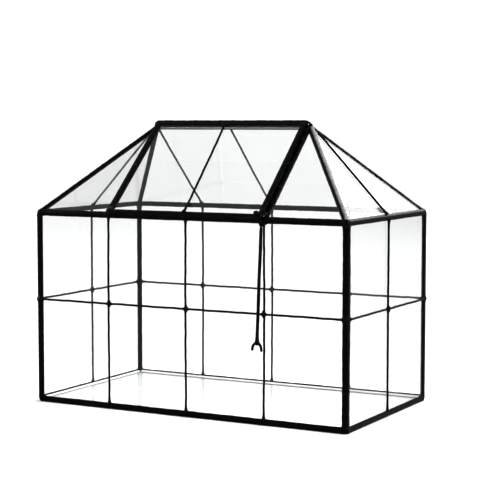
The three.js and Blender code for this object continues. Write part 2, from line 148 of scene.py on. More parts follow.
# %% Shells and pieces
def turned_out(vertices, quads, tris):
    """The shell with its faces outwards. The sum of a . (b x c) over its triangles is six times
    the volume it encloses, and is positive when they face outwards."""
    volume = 0
    for faces in (quads[:, [0, 1, 2]], quads[:, [0, 2, 3]], tris):
        a, b, c = (vertices[faces[:, k]] for k in range(3))
        volume += np.einsum("ij,ij->", a, np.cross(b, c))
    way = 1 if volume > 0 else -1
    return vertices, quads[:, ::way], tris[:, ::way]


def tube_shell(points):
    """Closed tube from points[row, column, xyz]: quads between rows, and a fan on each end."""
    rows, cols, _ = points.shape
    r, c = np.meshgrid(np.arange(rows - 1), np.arange(cols), indexing="ij")
    after = (c + 1) % cols
    here, below = r * cols, (r + 1) * cols
    quads = np.stack([here + c, here + after, below + after, below + c], -1)
    ring = np.arange(cols)
    last = (rows - 1) * cols
    start = np.stack([np.full(cols, rows * cols), (ring + 1) % cols, ring], -1)
    end = np.stack([np.full(cols, rows * cols + 1), last + ring, last + (ring + 1) % cols], -1)
    vertices = np.vstack([points.reshape(-1, 3), points[0].mean(0), points[-1].mean(0)])
    return turned_out(vertices, quads.reshape(-1, 4), np.vstack([start, end]))


def ring_shell(points):
    """Closed ring from points[row, column, xyz]: quads only, the last row joined to the first."""
    rows, cols, _ = points.shape
    r, c = np.meshgrid(np.arange(rows), np.arange(cols), indexing="ij")
    down, after = (r + 1) % rows, (c + 1) % cols
    here, below = r * cols, down * cols
    quads = np.stack([here + c, here + after, below + after, below + c], -1)
    return turned_out(points.reshape(-1, 3), quads.reshape(-1, 4), np.empty((0, 3), int))


SHARP_ANGLE = 50
made = []


def piece(name, parts, body, slot, nodes):
    """A mesh object of (shell, crest) parts that rides on a body and stands for CAD nodes."""
    faces, crests, vertices, base = [], [], [], 0
    for (points, quads, tris), crest in parts:
        faces += (quads + base).tolist() + (tris + base).tolist()
        vertices.append(points)
        crests.append(np.broadcast_to(crest, len(points)))
        base += len(points)
    mesh = bpy.data.meshes.new(name)
    mesh.from_pydata(np.vstack(vertices).tolist(), [], faces)
    mesh.shade_smooth()
    mesh.set_sharp_from_angle(angle=np.radians(SHARP_ANGLE))
    mesh.attributes.new("crest", "FLOAT", "POINT").data.foreach_set("value", np.concatenate(crests))
    obj = bpy.data.objects.new(name, mesh)
    bpy.context.collection.objects.link(obj)
    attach(obj, body)
    if nodes:
        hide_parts(*nodes)
    made.append((obj, slot))
    return obj


def bezier_corners(corners, radii, samples=4):
    """Closed outline with each corner eased by a short curve: rows of weights on the corners.
    The weights are those of a quadratic curve from the incoming side to the outgoing one."""
    count = len(corners)
    corners = np.asarray(corners, float)
    weights = np.zeros((count * samples, count))
    t = np.linspace(0, 1, samples)
    for k in range(count):
        before, after = (k - 1) % count, (k + 1) % count
        reach_in = min(radii[k] / np.linalg.norm(corners[k] - corners[before]), 0.45)
        reach_out = min(radii[k] / np.linalg.norm(corners[k] - corners[after]), 0.45)
        rows = slice(k * samples, (k + 1) * samples)
        weights[rows, before] += (1 - t) ** 2 * reach_in
        weights[rows, after] += t ** 2 * reach_out
        weights[rows, k] += (1 - t) ** 2 * (1 - reach_in) + t ** 2 * (1 - reach_out)
        weights[rows, k] += 2 * t * (1 - t)
    return weights


# %% [markdown]
# ## A hand that is never quite steady
# Solder flows and freezes in soft lumps a few millimetres apart, and a strip cut by hand
# wanders a little. A displacement texture would do, but it moves every point along its normal
# and can't tell a lump from a wandering edge. A sum of a few sine waves of mixed length gives
# both. Each strip draws its own phases from one seeded generator, so the result is the same
# every time.

# %% Waves along a strip
rng = np.random.default_rng(19)
LUMP_WAVES = (23, 9.1, 5.3, 3.7)
EDGE_WAVES = (41, 14, 6.4)


def waves(distance, lengths, height):
    """Sum of sine waves along distance (m), one for each wavelength in mm, of that height in mm."""
    phases = rng.uniform(0, 2 * np.pi, len(lengths))
    turns = distance[:, None] / (np.array(lengths) * MM) * 2 * np.pi + phases
    return np.sin(turns).sum(1) / len(lengths) * height * MM


def near_ends(distance, length, reach):
    """1 at both ends of a strip, falling as a bell curve over reach (mm)."""
    reach = reach * MM
    return np.exp(-(distance / reach) ** 2) + np.exp(-((length - distance) / reach) ** 2)


# %% [markdown]
# ## Came along an edge
# Came on an outside edge is two legs folded over the glass outside and two inside, joined
# through the gap between the pane edges. A bevelled box on each edge would be quicker, but it
# would have no slot for the glass, and its straight sides would look machined. Here the
# section is one closed outline with a slot for each pane. It is carried along the edge,
# swelling and wandering by the waves above, and it spreads where it runs into a soldered
# corner.
#
# The legs that lie against the glass on the base and the ridge are given a bright solder
# colour. It is painted light: a pale line that shows through the panes along the floor. A band
# of the same colour on the crown of the front right hip is a painted highlight.

# %% Came strips
GLASS = 2.0
CAME_PROUD = 0.72  # height of the strip off the glass outside, and off it inside
CAME_INNER = 0.4
INNER_LEG = {"post": 0.6, "base": 0.5, "eaves": 1.7, "hip": 1.7, "ridge": 0.5}
POST_LEG = {
    ("front", "left"): 3.4, ("front", "right"): 4.2,
    ("back", "left"): 3.9, ("back", "right"): 4.2,
}
BASE_LEG = 4.4
EAVES_LEG = 2.7
HIP_LEG = 2.7
RIDGE_LEG = 3.0
TOUCH = 0.03  # gap between glass and metal
BITE = 0.12  # the strip's heart reaches this far into the pane's edge, as cement would
OUTER_LIP, INNER_LIP = 0.35, 0.3  # least width of a leg past the slot's end
BLACK_TIP = 0.7  # the black creeps this far in under the end of an outer leg
STEP = 1.4  # rows along a strip


def pane_inset(half):
    """How far (mm) a pane stops short of the corner, at half the angle between two panes."""
    return (GLASS + 0.2) / np.tan(half) + 0.2 + 0.35 / np.sin(half)


def came_section(direction, n1, n2, leg, inner_leg):
    """(base, lump1, lump2, edge1, edge2, crest), with one row for each point round the section:
    its offset in m from the glass corner, what it gets from the lumps and from the wander of
    each leg's edge, and how high it stands. The crown is (n1 + n2) * CAME_PROUD / (1 + n1 . n2)."""
    pull = 1 / (1 + n1 @ n2)
    half = (np.pi - np.arccos(np.clip(n1 @ n2, -1, 1))) / 2
    web = pane_inset(half) + BITE
    inside = GLASS + CAME_INNER
    corners, lump, edge, crest, ease = [], [], [], [], []

    def side(normal, other, order):
        tangent = np.cross(direction, normal)
        tangent = tangent if tangent @ other < 0 else -tangent
        lean = other @ tangent * pull
        end = max(CAME_PROUD * lean + leg, web + OUTER_LIP)
        inner_end = max(-inside * lean + inner_leg, web + INNER_LIP)
        rows = [  # out from the glass, along the face, lump, wander, crest, easing radius
            (-inside, inner_end - 0.3, -0.3, 0, 0.3, 0.2),
            (-GLASS - 0.2, inner_end, -0.1, 0.4, 0.1, 0.1),
            (-GLASS - TOUCH, inner_end, 0, 1, 0, 0.1),
            (-GLASS - TOUCH, web, 0, 0, 0, 0.1),
            (TOUCH, web, 0, 0, 0, 0.1),
            (TOUCH, end - BLACK_TIP, 0, 1, 0, 0.05),
            (TOUCH, end, 0, 1, 0, 0.1),
            (0.42, end, 0.5, 1, 0.4, 0.25),
            (CAME_PROUD * 0.94, end - 0.9, 1, 0.4, 0.8, 0.7),
        ]
        for out, along, swell, wander, top, radius in rows[::order]:
            corners.append(out * normal + along * tangent)
            lump.append(swell * normal)
            edge.append(wander * tangent)
            crest.append(top)
            ease.append(radius)

    side(n1, n2, 1)
    corners.append((n1 + n2) * CAME_PROUD * pull)
    lump.append((n1 + n2) / 2)
    edge.append(np.zeros(3))
    crest.append(1)
    ease.append(1.1)
    past_crown = len(corners)
    side(n2, n1, -1)
    corners.append(-(n1 + n2) * inside * pull)
    lump.append(-(n1 + n2) / 4)
    edge.append(np.zeros(3))
    crest.append(0.1)
    ease.append(1.4)
    weights = bezier_corners(corners, ease)
    first = np.arange(len(corners)) < past_crown
    lump, edge = np.array(lump), np.array(edge)
    return (
        weights @ np.array(corners) * MM,
        weights @ (lump * np.where(first, 1, 0.4)[:, None]),
        weights @ (lump * np.where(first, 0.4, 1)[:, None]),
        weights @ (edge * first[:, None]),
        weights @ (edge * ~first[:, None]),
        weights @ np.array(crest, float),
    )


FLARE_REACH = 2.6
BUMP_REACH = 1.5


def strip(start, end, section, trim=(0, 0), lumpiness=0.16, wander=0.16, spread=0.5, bump=None):
    """(shell, crest) of a section carried from start to end, less a trim in mm at each end.
    A point is: place on the edge + section + lumps across it + wander of its edges. A bump is
    the height in m at which a post swells, where the belt wire is soldered to it."""
    base, lump1, lump2, edge1, edge2, crest = section
    direction = (end - start) / np.linalg.norm(end - start)
    start = start + direction * trim[0] * MM
    end = end - direction * trim[1] * MM
    length = np.linalg.norm(end - start)
    along = np.linspace(0, length, max(int(length / (STEP * MM)), 4))
    flare = near_ends(along, length, FLARE_REACH) * spread * MM
    swell = [waves(along, LUMP_WAVES, lumpiness) + 0.35 * flare for _ in range(2)]
    drift = [waves(along, EDGE_WAVES, wander) + flare for _ in range(2)]
    if bump is not None:
        rise = np.exp(-((start[2] + along - bump) / (BUMP_REACH * MM)) ** 2) * MM
        swell = [s + 0.9 * rise for s in swell]
        drift = [d + 0.7 * rise for d in drift]
    points = start + along[:, None, None] * direction + base
    points = points + swell[0][:, None, None] * lump1 + swell[1][:, None, None] * lump2
    points = points + drift[0][:, None, None] * edge1 + drift[1][:, None, None] * edge2
    height = np.clip(0.5 + swell[0] / (2 * lumpiness * MM), 0, 1.3)
    tops = (height[:, None] * crest[None, :]).ravel()
    return tube_shell(points), np.concatenate([tops, [0, 0]])


def off_faces(bar, *faces):
    """Distance in m of each point of a piece outside each named face of the glass."""
    points = np.empty(3 * len(bar.data.vertices))
    bar.data.vertices.foreach_get("co", points)
    return [points.reshape(-1, 3) @ FACES[f][0] - FACES[f][1] for f in faces]


def set_painted_highlight(bar, amount):
    """Attribute of painted light: 0 is blackened, 1 is a bright solder colour painted as a
    highlight.
    """
    painted_highlight = bar.data.attributes.new("painted_highlight", "FLOAT", "POINT")
    painted_highlight.data.foreach_set("value", np.clip(amount, 0, 1).astype(np.float32))


# how far in (mm) under the glass the painted light line reaches
LIGHT_LINE_REACH = 2.9
CORNER_TRIM = 1.3
POST_TRIM = (2.0, CORNER_TRIM)
HIP_TRIM = (CORNER_TRIM, 1.0)
RIDGE_TRIM = (0.8, 0.8)
belt_level = 76 * MM


def came_piece(node, start, end, face1, face2, leg, trim=(CORNER_TRIM, CORNER_TRIM)):
    """The came strip that stands for one CAD bar. Painted light in a bright solder colour: a pale
    line under both faces of the glass on the base and the ridge, and a half-strength painted
    highlight on the crown of the front right hip."""
    direction = (end - start) / np.linalg.norm(end - start)
    kind = node.split("_")[0]
    section = came_section(direction, NORMAL[face1], NORMAL[face2], leg, INNER_LEG[kind])
    part = strip(start, end, section, trim, bump=belt_level if kind == "post" else None)
    bar = piece("came_" + node, [part], "case", "black_came", [node])
    off1, off2 = off_faces(bar, face1, face2)
    # painted light: a bright line on the legs under the glass of the base and the ridge
    if kind in ("base", "ridge"):
        within = np.maximum(off1, off2) < 0.12 * MM
        set_painted_highlight(bar, within & (off2 > -LIGHT_LINE_REACH * MM))
    # painted highlight: a bright band along the crown of the front right hip
    elif node == "hip_front_right":
        crown = np.clip((off2 / MM + 0.6) / 0.8, 0, 1)
        crown = crown * np.clip((off1 / MM + 1.7) / 0.5, 0, 1)
        set_painted_highlight(bar, crown * (0.25 + 0.3 * np.clip(part[1], 0, 1)))


for e in ENDS:
    came_piece("base_rail_" + e, FOOT[e, "left"], FOOT[e, "right"], e, "floor", BASE_LEG)
    came_piece("eaves_rail_" + e, EAVES[e, "left"], EAVES[e, "right"], e, "roof_" + e, EAVES_LEG)
for s in SIDES:
    came_piece("base_rail_" + s, FOOT["front", s], FOOT["back", s], s, "floor", BASE_LEG)
    came_piece("eaves_rail_" + s, EAVES["front", s], EAVES["back", s], s, "roof_" + s, EAVES_LEG)
    for e in ENDS:
        came_piece(f"post_{e}_{s}", FOOT[e, s], EAVES[e, s], e, s, POST_LEG[e, s], POST_TRIM)
        came_piece(f"hip_{e}_{s}", EAVES[e, s], PEAK[s], "roof_" + e, "roof_" + s, HIP_LEG,
                   HIP_TRIM)
came_piece("ridge_bar", PEAK["left"], PEAK["right"], "roof_front", "roof_back", RIDGE_LEG,
           RIDGE_TRIM)
print("came strips:", len(made))

# %% [markdown]
# ## Solder at the corners
# Where three strips meet, the maker floods the corner with solder, and it sets as a rounded
# lump. A plain sphere would do from far off, but its even outline gives it away beside the
# strips. A bead here is a ball whose section can be squared, or drawn out into four lobes,
# and whose skin is a little uneven.

# %% Solder beads
def bead(centre, axes, square=1.0, lobes=0.0, uneven=0.05, rows=16, cols=40):
    """(shell, crest) of a bead: centre + a f(cos u) sin v + b f(sin u) sin v + n cos v, where f
    raises to the power square with its sign, and lobes widen it four times round."""
    a, b, n = np.array(axes, float) * MM
    v = np.linspace(0.06, np.pi - 0.06, rows)[:, None]
    u = np.linspace(0, 2 * np.pi, cols, endpoint=False)[None, :]
    phase = rng.uniform(0, 2 * np.pi, 3)
    skin = 1 + uneven * (np.sin(3 * u + phase[0]) * np.sin(v) + np.sin(2 * u + 4 * v + phase[1])
                         + 0.6 * np.sin(5 * u - 3 * v + phase[2])) / 2
    wide = skin * (1 + lobes * (np.cos(4 * u) - 1) / 2)

    def power(x):
        return np.sign(x) * np.abs(x) ** square

    points = np.array(centre) + (power(np.cos(u)) * power(np.sin(v)) * wide)[..., None] * a
    points = points + (power(np.sin(u)) * power(np.sin(v)) * wide)[..., None] * b
    points = points + (power(np.cos(v)) * skin)[..., None] * n
    crest = np.concatenate([(0.35 + 0.5 * np.cos(v) * np.ones_like(u)).ravel(), [0.8, 0]])
    return tube_shell(points), crest


def axes_of(x, y, z):
    """Three box axes scaled to radii in mm."""
    return (x, 0, 0), (0, y, 0), (0, 0, z)


def corner_bead(corner, ways, inwards, rise, radii, square):
    """A bead set in from a corner of the glass, along each axis in ways, and raised, all in mm."""
    shift = -np.sign(corner * ways) * inwards + (0, 0, rise)
    return bead(corner + shift * MM, axes_of(*radii), square=square)


corner_parts = [corner_bead(p, (1, 1, 0), 1.7, 1.8, (2.6, 2.6, 2.5), 0.75) for p in FOOT.values()]
corner_parts += [corner_bead(p, (1, 1, 0), 1.35, -0.9, (2.2, 2.2, 2.9), 0.85)
                 for p in EAVES.values()]
corner_parts += [corner_bead(PEAK[s], (1, 0, 0), 1.2, -1.7, (2.7, 2.3, 2.3), 0.9) for s in SIDES]
piece("corner_solder", corner_parts, "case", "black_came", [])
print("corner beads:", len(corner_parts))

# %% [markdown]
# ## Wires on the panes
# The thin dark lines are wires laid on the outside of the glass and soldered at their ends.
# A cylinder each would be the usual way. But a wire drawn by hand is never quite straight,
# and its solder creeps up it at both ends in a small cone, so each wire is a circle whose
# radius changes along a line that bows. The line of each wire is measured on its own node in
# the frame, as the longest direction of its points.

# %% Wires
WIRE_RADIUS = 0.76
WIRE_LIFT = 0.76  # its middle line off the glass
BURIED = 1.4  # how far each end runs on into the came
WIRE_STEP = 1.1
CONE_REACH = 1.5


def points_of(node):
    """The vertices of a CAD node, in metres."""
    mesh = frame["nodes"][node].data
    points = np.empty(3 * len(mesh.vertices))
    mesh.vertices.foreach_get("co", points)
    return points.reshape(-1, 3)


def line_of(node):
    """(start, end) of a CAD wire: its points spread furthest along their main direction."""
    points = points_of(node)
    centre = (points.min(0) + points.max(0)) / 2
    direction = np.linalg.svd(points - points.mean(0), full_matrices=False)[2][0]
    reach = (points - centre) @ direction
    return centre + direction * reach.min(), centre + direction * reach.max()


def lay_on(point, face, lift):
    """The point moved straight along the face's normal until it is lift mm off the glass."""
    normal, level = FACES[face]
    return point + (level + lift * MM - normal @ point) * normal


def laid_wire(start, end, normal, radius=WIRE_RADIUS, bow=0.0, cone=0.9):
    """(shell, crest) of a wire on glass: a circle of radius r(s) carried along a line that bows
    by half a sine and wavers, flat underneath where it would pass into the glass. r(s) widens
    by cone * exp(-s / CONE_REACH) at both ends."""
    direction = (end - start) / np.linalg.norm(end - start)
    side = np.cross(direction, normal)
    length = np.linalg.norm(end - start)
    along = np.linspace(0, length, int(length / (WIRE_STEP * MM)))
    sway = bow * MM * np.sin(np.pi * along / length) + waves(along, (47, 21, 11), 0.16)
    r = radius * MM * (1 + waves(along, (9, 4.1, 2.7), 0.05) / MM)
    reach = CONE_REACH * MM
    r = r + cone * MM * (np.exp(-along / reach) + np.exp(-(length - along) / reach))
    angle = np.linspace(0, 2 * np.pi, 14, endpoint=False)
    path = start + along[:, None] * direction + sway[:, None] * side
    out = np.maximum(r[:, None] * np.sin(angle), -WIRE_LIFT * MM)
    across = r[:, None] * np.cos(angle)
    points = path[:, None] + across[..., None] * side + out[..., None] * normal
    crest = 0.5 + 0.5 * np.sin(angle) + waves(along, (13, 5, 3.1), 0.35)[:, None] / MM
    return tube_shell(points), np.concatenate([np.clip(crest, 0, 1.2).ravel(), [0, 0]])


def wire_piece(node, face, bow):
    """The wire that stands for one CAD wire, laid on its pane and run into the came."""
    start, end = (lay_on(p, face, WIRE_LIFT) for p in line_of(node))
    direction = (end - start) / np.linalg.norm(end - start)
    start, end = start - BURIED * MM * direction, end + BURIED * MM * direction
    wire_part = laid_wire(start, end, NORMAL[face], bow=bow)
    piece("rod_" + node, [wire_part], "case", "black_wire", [node])
    return start, end


UPRIGHTS = {
    "front_wire_left": ("front", 0.35), "front_wire_middle": ("front", -0.3),
    "front_wire_right": ("front", 0.4), "back_wire_left": ("back", 0.3),
    "back_wire_middle": ("back", -0.4), "back_wire_right": ("back", 0.3),
    "left_wire": ("left", 0.3), "right_wire": ("right", -0.3),
}
ROOF_WIRES = {
    "roof_wire_back_left": ("roof_back", 0.3), "roof_wire_back_middle": ("roof_back", -0.3),
    "roof_wire_back_right": ("roof_back", 0.3), "roof_wire_left": ("roof_left", 0.25),
    "roof_wire_right": ("roof_right", -0.35),
}
upright_line = {node: wire_piece(node, face, bow) for node, (face, bow) in UPRIGHTS.items()}
for node, (face, bow) in ROOF_WIRES.items():
    wire_piece(node, face, bow)
print("upright wires:", len(upright_line), "roof wires:", len(ROOF_WIRES))

# %% [markdown]
# ## The belt and its beads
# One wire goes round the case at mid height. Where it crosses an upright the two are soldered
# into a small diamond with hollow sides, because solder creeps a little way along each wire.
# A ball at the crossing would hide that, so the bead above is drawn out into its four lobes.

# %% Belt wires
WALL_ENDS = {e: [(e, s) for s in SIDES] for e in ENDS} | {s: [(e, s) for e in ENDS] for s in SIDES}
BELT_TRIM = 2.6
CROSSING_REACH, CROSSING_THICK = 2.9, 1.6
for wall, ends in WALL_ENDS.items():
    normal = NORMAL[wall]
    start, end = (lay_on(FOOT[k], wall, WIRE_LIFT) for k in ends)
    start[2] = end[2] = belt_level
    direction = (end - start) / np.linalg.norm(end - start)
    start, end = start + BELT_TRIM * MM * direction, end - BELT_TRIM * MM * direction
    parts = [laid_wire(start, end, normal, cone=0.6)]
    for node, (face, _) in UPRIGHTS.items():
        if face == wall:
            low, high = upright_line[node]
            crossing = low + (high - low) * (belt_level - low[2]) / (high[2] - low[2])
            axes = direction * CROSSING_REACH, (0, 0, CROSSING_REACH), normal * CROSSING_THICK
            parts.append(bead(crossing, axes, lobes=0.36, uneven=0.06))
    piece("rod_belt_" + wall, parts, "case", "black_wire", ["belt_" + wall])
print("belt wires:", len(WALL_ENDS))

# %% [markdown]
# ## Places on the front slope
# The lid and its frame lie on the front roof slope. They could be modelled level and turned
# into place, but every piece has to stay at the origin for the lid to swing rightly. So they
# are laid out in the slope's own measures: x along the eaves, v up the slope from the eaves,
# and w out from the glass. Each bar's size is read off its node in those measures.

# %% Slope measures
SLOPE_OUT = NORMAL["roof_front"]
SLOPE_UP = np.array([0, -SLOPE_OUT[2], SLOPE_OUT[1]])
SLOPE_UP = SLOPE_UP * np.sign(SLOPE_UP[2])
SLOPE_FOOT = EAVES["front", "left"] * (0, 1, 1)
ACROSS = np.array([1.0, 0, 0])


def on_slope(x, v, w=0.0):
    """The point at x, v up the slope and w out from the glass, all in mm."""
    return SLOPE_FOOT + (x * ACROSS + v * SLOPE_UP + w * SLOPE_OUT) * MM


def slope_extent(node):
    """((x0, x1), (v0, v1), (w0, w1)) of a CAD node in slope measures, in mm."""
    rel = (points_of(node) - SLOPE_FOOT) @ np.array([ACROSS, SLOPE_UP, SLOPE_OUT]).T / MM
    return list(zip(rel.min(0), rel.max(0)))


def bar_section(across, out, rows):
    """Section rows of (across, out, lump, wander, crest, easing radius) made into the arrays
    that a strip carries along: eased corners times the two directions."""
    rows = np.array(rows, float)
    weights = bezier_corners(rows[:, :2], rows[:, 5])
    base = (weights @ rows[:, 0])[:, None] * across + (weights @ rows[:, 1])[:, None] * out
    lump = (weights @ rows[:, 2])[:, None] * out
    edge = (weights @ rows[:, 3])[:, None] * across
    return base * MM, lump, lump * 0, edge, edge * 0, weights @ rows[:, 4]


def slotted_bar(across, low, high, bottom, top, slot_low, slot_high, depth):
    """Section of a came bar with its slot for the glass on the high side, and a crowned top."""
    return bar_section(across, SLOPE_OUT, [
        (low, bottom, -0.4, 0.6, 0, 0.4),
        (high, bottom, -0.4, -0.6, 0, 0.4),
        (high, slot_low, 0, -0.6, 0, 0.1),
        (high - depth, slot_low, 0, 0, 0, 0.1),
        (high - depth, slot_high, 0, 0, 0, 0.1),
        (high, slot_high, 0, -0.6, 0, 0.1),
        (high - 0.1, top - 0.25, 0.5, -0.8, 0.6, 0.35),
        ((low + high) / 2, top + 0.12, 1, 0, 1, 1.0),
        (low + 0.1, top - 0.25, 0.5, 0.8, 0.6, 0.5),
    ])


# %% [markdown]
# ## Jambs of the lid opening
# Two bars run up the slope beside the opening. Each holds the edge of a small side pane in
# its outer side, and the lid shuts down on its top. A plain box would do where the lid hides
# it, but the sides show. So the section is like that of the edges, with one slot in place of
# two. A faint painted highlight runs along the crowns, here and on the lid's bars.

# %% Jambs
# strength of the painted highlight along the crowns of the jambs and the lid's bars
CROWN_HIGHLIGHT = 0.2
JAMB_NEAR, JAMB_FAR, JAMB_SLOT = 0.6, 1.05, 0.15


def paint_crown_highlight(bar, part):
    """Paints a faint highlight where the crest stands highest."""
    set_painted_highlight(bar, (part[1] - 0.6) * CROWN_HIGHLIGHT)


for s, sign in (("left", -1), ("right", 1)):
    (x0, x1), (v0, v1), (_, w1) = slope_extent("jamb_" + s)
    near, far = sorted((sign * x0, sign * x1))
    section = slotted_bar(sign * ACROSS, near + JAMB_NEAR, far - JAMB_FAR, -GLASS - CAME_INNER,
                          w1 - 0.1, -GLASS - TOUCH, TOUCH, JAMB_SLOT - BITE)
    part = strip(on_slope(0, v0 + 2.2), on_slope(0, v1 + 0.6), section, lumpiness=0.12, spread=0.3)
    # the jamb's crown gets a faint painted highlight
    paint_crown_highlight(piece("came_jamb_" + s, [part], "case", "black_came", ["jamb_" + s]), part)
print("jambs from", round(v0, 1), "to", round(v1, 1), "mm up the slope")

# %% [markdown]
# ## The lid's frame
# A pane in four strips of came: a bottom rail, two stiles, and a top rail with a tube along
# its edge. The hinge wire runs through the tube. The corners are soldered on the outside. The
# frame could be one mesh, but it is four bars on the bench, and each stands for its own node.

# %% Lid frame
(lid_x0, lid_x1), (rail_v0, rail_v1), (lid_w0, lid_w1) = slope_extent("lid_bottom_rail")
(_, pane_x1), (pane_v0, pane_v1), (pane_w0, pane_w1) = slope_extent("lid_pane")
_, (head_v0, head_v1), (tube_w0, tube_w1) = slope_extent("lid_hinge_rail")
(stile_x0, stile_x1), _, _ = slope_extent("lid_stile_right")
TUBE_RADIUS = (tube_w1 - tube_w0) / 2
PIVOT_V, PIVOT_W = head_v1 - TUBE_RADIUS, (tube_w0 + tube_w1) / 2
PANE_SIDES = pane_w0 - TOUCH, pane_w1 + TOUCH
RAIL_IN, HEAD_IN = 0.4, 0.7  # how far the bars stop short of their CAD edge on the glass
STILE_OUT = {"left": 0.8, "right": -0.6}


def lid_bar(name, across, low, high, depth, start, end, nodes):
    """One bar of the lid's frame, with its slot on the high side, as a piece of the lid."""
    section = slotted_bar(across, low, high, lid_w0, lid_w1 - 0.12, *PANE_SIDES, depth - BITE)
    part = strip(start, end, section, lumpiness=0.14, wander=0.13, spread=0.25)
    # the bar's crown gets a faint painted highlight
    paint_crown_highlight(piece(name, [part], "lid", "black_came", nodes), part)


rail_top = rail_v1 - RAIL_IN
lid_bar("lid_foot_came", SLOPE_UP, rail_v0, rail_top, rail_top - pane_v0,
        on_slope(lid_x0, 0), on_slope(lid_x1, 0), ["lid_bottom_rail"])
for s, sign in (("left", -1), ("right", 1)):
    edge = -stile_x0 + STILE_OUT[s]
    lid_bar("lid_side_came_" + s, -sign * ACROSS, -stile_x1, edge, pane_x1 + edge,
            on_slope(0, rail_v1 - 0.6), on_slope(0, head_v0 + 1.5), ["lid_stile_" + s])

corner_parts = []
for x in (lid_x0 + 2.1, lid_x1 - 2.1):
    for v in (rail_v0 + 1.7, head_v0 + 1.2):
        axes = ACROSS * 2.2, SLOPE_UP * 1.9, SLOPE_OUT * 0.75
        corner_parts.append(bead(on_slope(x, v, lid_w1 - 0.4), axes, square=0.8))
piece("lid_corner_solder", corner_parts, "lid", "black_came", [])
print("lid", round(lid_x1 - lid_x0, 1), "by", round(head_v1 - rail_v0, 1), "mm")

# %% Hinge rail and tube
head_edge = -head_v0 - HEAD_IN
head = slotted_bar(-SLOPE_UP, -PIVOT_V, head_edge, lid_w0, lid_w1 - 0.12, *PANE_SIDES,
                   pane_v1 + head_edge - BITE)
head_part = strip(on_slope(lid_x0, 0), on_slope(lid_x1, 0), head, lumpiness=0.12, wander=0.1,
                  spread=0.2)


def hollow_tube(x0, x1, outer, inner):
    """(shell, crest) of the hinge tube: a thin ring section, its lip rounded, turned round the
    pivot. The outer skin swells and sinks a little along its length."""
    along = np.linspace(x0, x1, 110)
    skin = outer + waves((along - x0) * MM, (26, 11, 5.2), 0.16) / MM - 0.08
    skin[[0, -1]] = outer - 0.35
    bore_x = np.array([x1, x1 - 0.3, x0 + 0.3, x0])
    bore_r = np.array([inner + 0.2, inner, inner, inner + 0.2])
    x, r = np.concatenate([along, bore_x]), np.concatenate([skin, bore_r])
    turn = np.linspace(0, 2 * np.pi, 36, endpoint=False)[:, None]
    points = on_slope(0, PIVOT_V, PIVOT_W) + x[None, :, None] * ACROSS * MM
    points = points + (r * np.cos(turn))[..., None] * SLOPE_UP * MM
    points = points + (r * np.sin(turn))[..., None] * SLOPE_OUT * MM
    crest = np.broadcast_to(np.clip((r - outer + 0.2) * 3, 0, 1), (36, len(x))).ravel()
    return ring_shell(points), crest


BORE_RADIUS = 1.1
tube_part = hollow_tube(lid_x0, lid_x1, TUBE_RADIUS - 0.25, BORE_RADIUS)
piece("lid_hinge_came", [head_part, tube_part], "lid", "black_came", ["lid_hinge_rail"])
print("hinge tube radius", round(TUBE_RADIUS, 2), "mm")

# %% Wire down the lid
lid_line = line_of("lid_wire")
lid_out = pane_w1 + WIRE_LIFT - 0.08
ends = []
for point in sorted(lid_line, key=lambda p: p[2]):
    rel = (point - SLOPE_FOOT) / MM
    ends.append((rel @ ACROSS, rel @ SLOPE_UP))
(foot_x, foot_v), (top_x, top_v) = ends
lid_wire_part = laid_wire(on_slope(foot_x, foot_v - 1.6, lid_out),
                          on_slope(top_x, top_v + 1.8, lid_out),
                          SLOPE_OUT, radius=0.78, bow=0.3, cone=0.8)
lid_dab = bead(on_slope(top_x, head_v0 + 1.2, lid_w1 - 0.1),
               (ACROSS * 3.3, SLOPE_UP * 2.2, SLOPE_OUT * 0.9))
piece("lid_rod", [lid_wire_part], "lid", "black_wire", ["lid_wire"])
piece("lid_rod_solder", [lid_dab], "lid", "black_came", [])
print("lid wire from x", round(foot_x, 1), "to x", round(top_x, 1))

# %% [markdown]
# ## Bent wires: hinge pin, knob peg, staple
# These are wires bent over pliers. A curve object with a round bevel would make them too, but
# its ends are flat and its radius even. The path here is a few corner points; each corner is
# eased by a short curve, and a circle is carried along it. A flat bend has one direction that
# never changes, square to the bend, which keeps the circle from twisting.

# %% Bent wire
def line_points(start, end, step):
    """Evenly spaced points from start to end, about a step apart."""
    count = max(int(np.linalg.norm(end - start) / step), 2)
    return start + np.linspace(0, 1, count)[:, None] * (end - start)


def eased_path(corners, ease, step=0.25):
    """Points along a bent wire, in mm: straight runs, with a quadratic curve at each corner,
    (1-t)^2 enter + 2t(1-t) corner + t^2 leave, that starts and ends at a distance of ease."""
    corners = [np.asarray(c, float) for c in corners]
    legs, here = [], corners[0]
    for before, corner, after in zip(corners, corners[1:], corners[2:]):
        enter = corner + (before - corner) / np.linalg.norm(before - corner) * ease
        leave = corner + (after - corner) / np.linalg.norm(after - corner) * ease
        t = np.linspace(0, 1, 9)[:, None]
        legs.append(line_points(here, enter, step))
        legs.append((1 - t) ** 2 * enter + 2 * t * (1 - t) * corner + t ** 2 * leave)
        here = leave
    legs.append(line_points(here, corners[-1], step))
    path = np.vstack(legs)
    moved = np.linalg.norm(np.diff(path, axis=0), axis=1) > 1e-6
    return path[np.concatenate([[True], moved])]


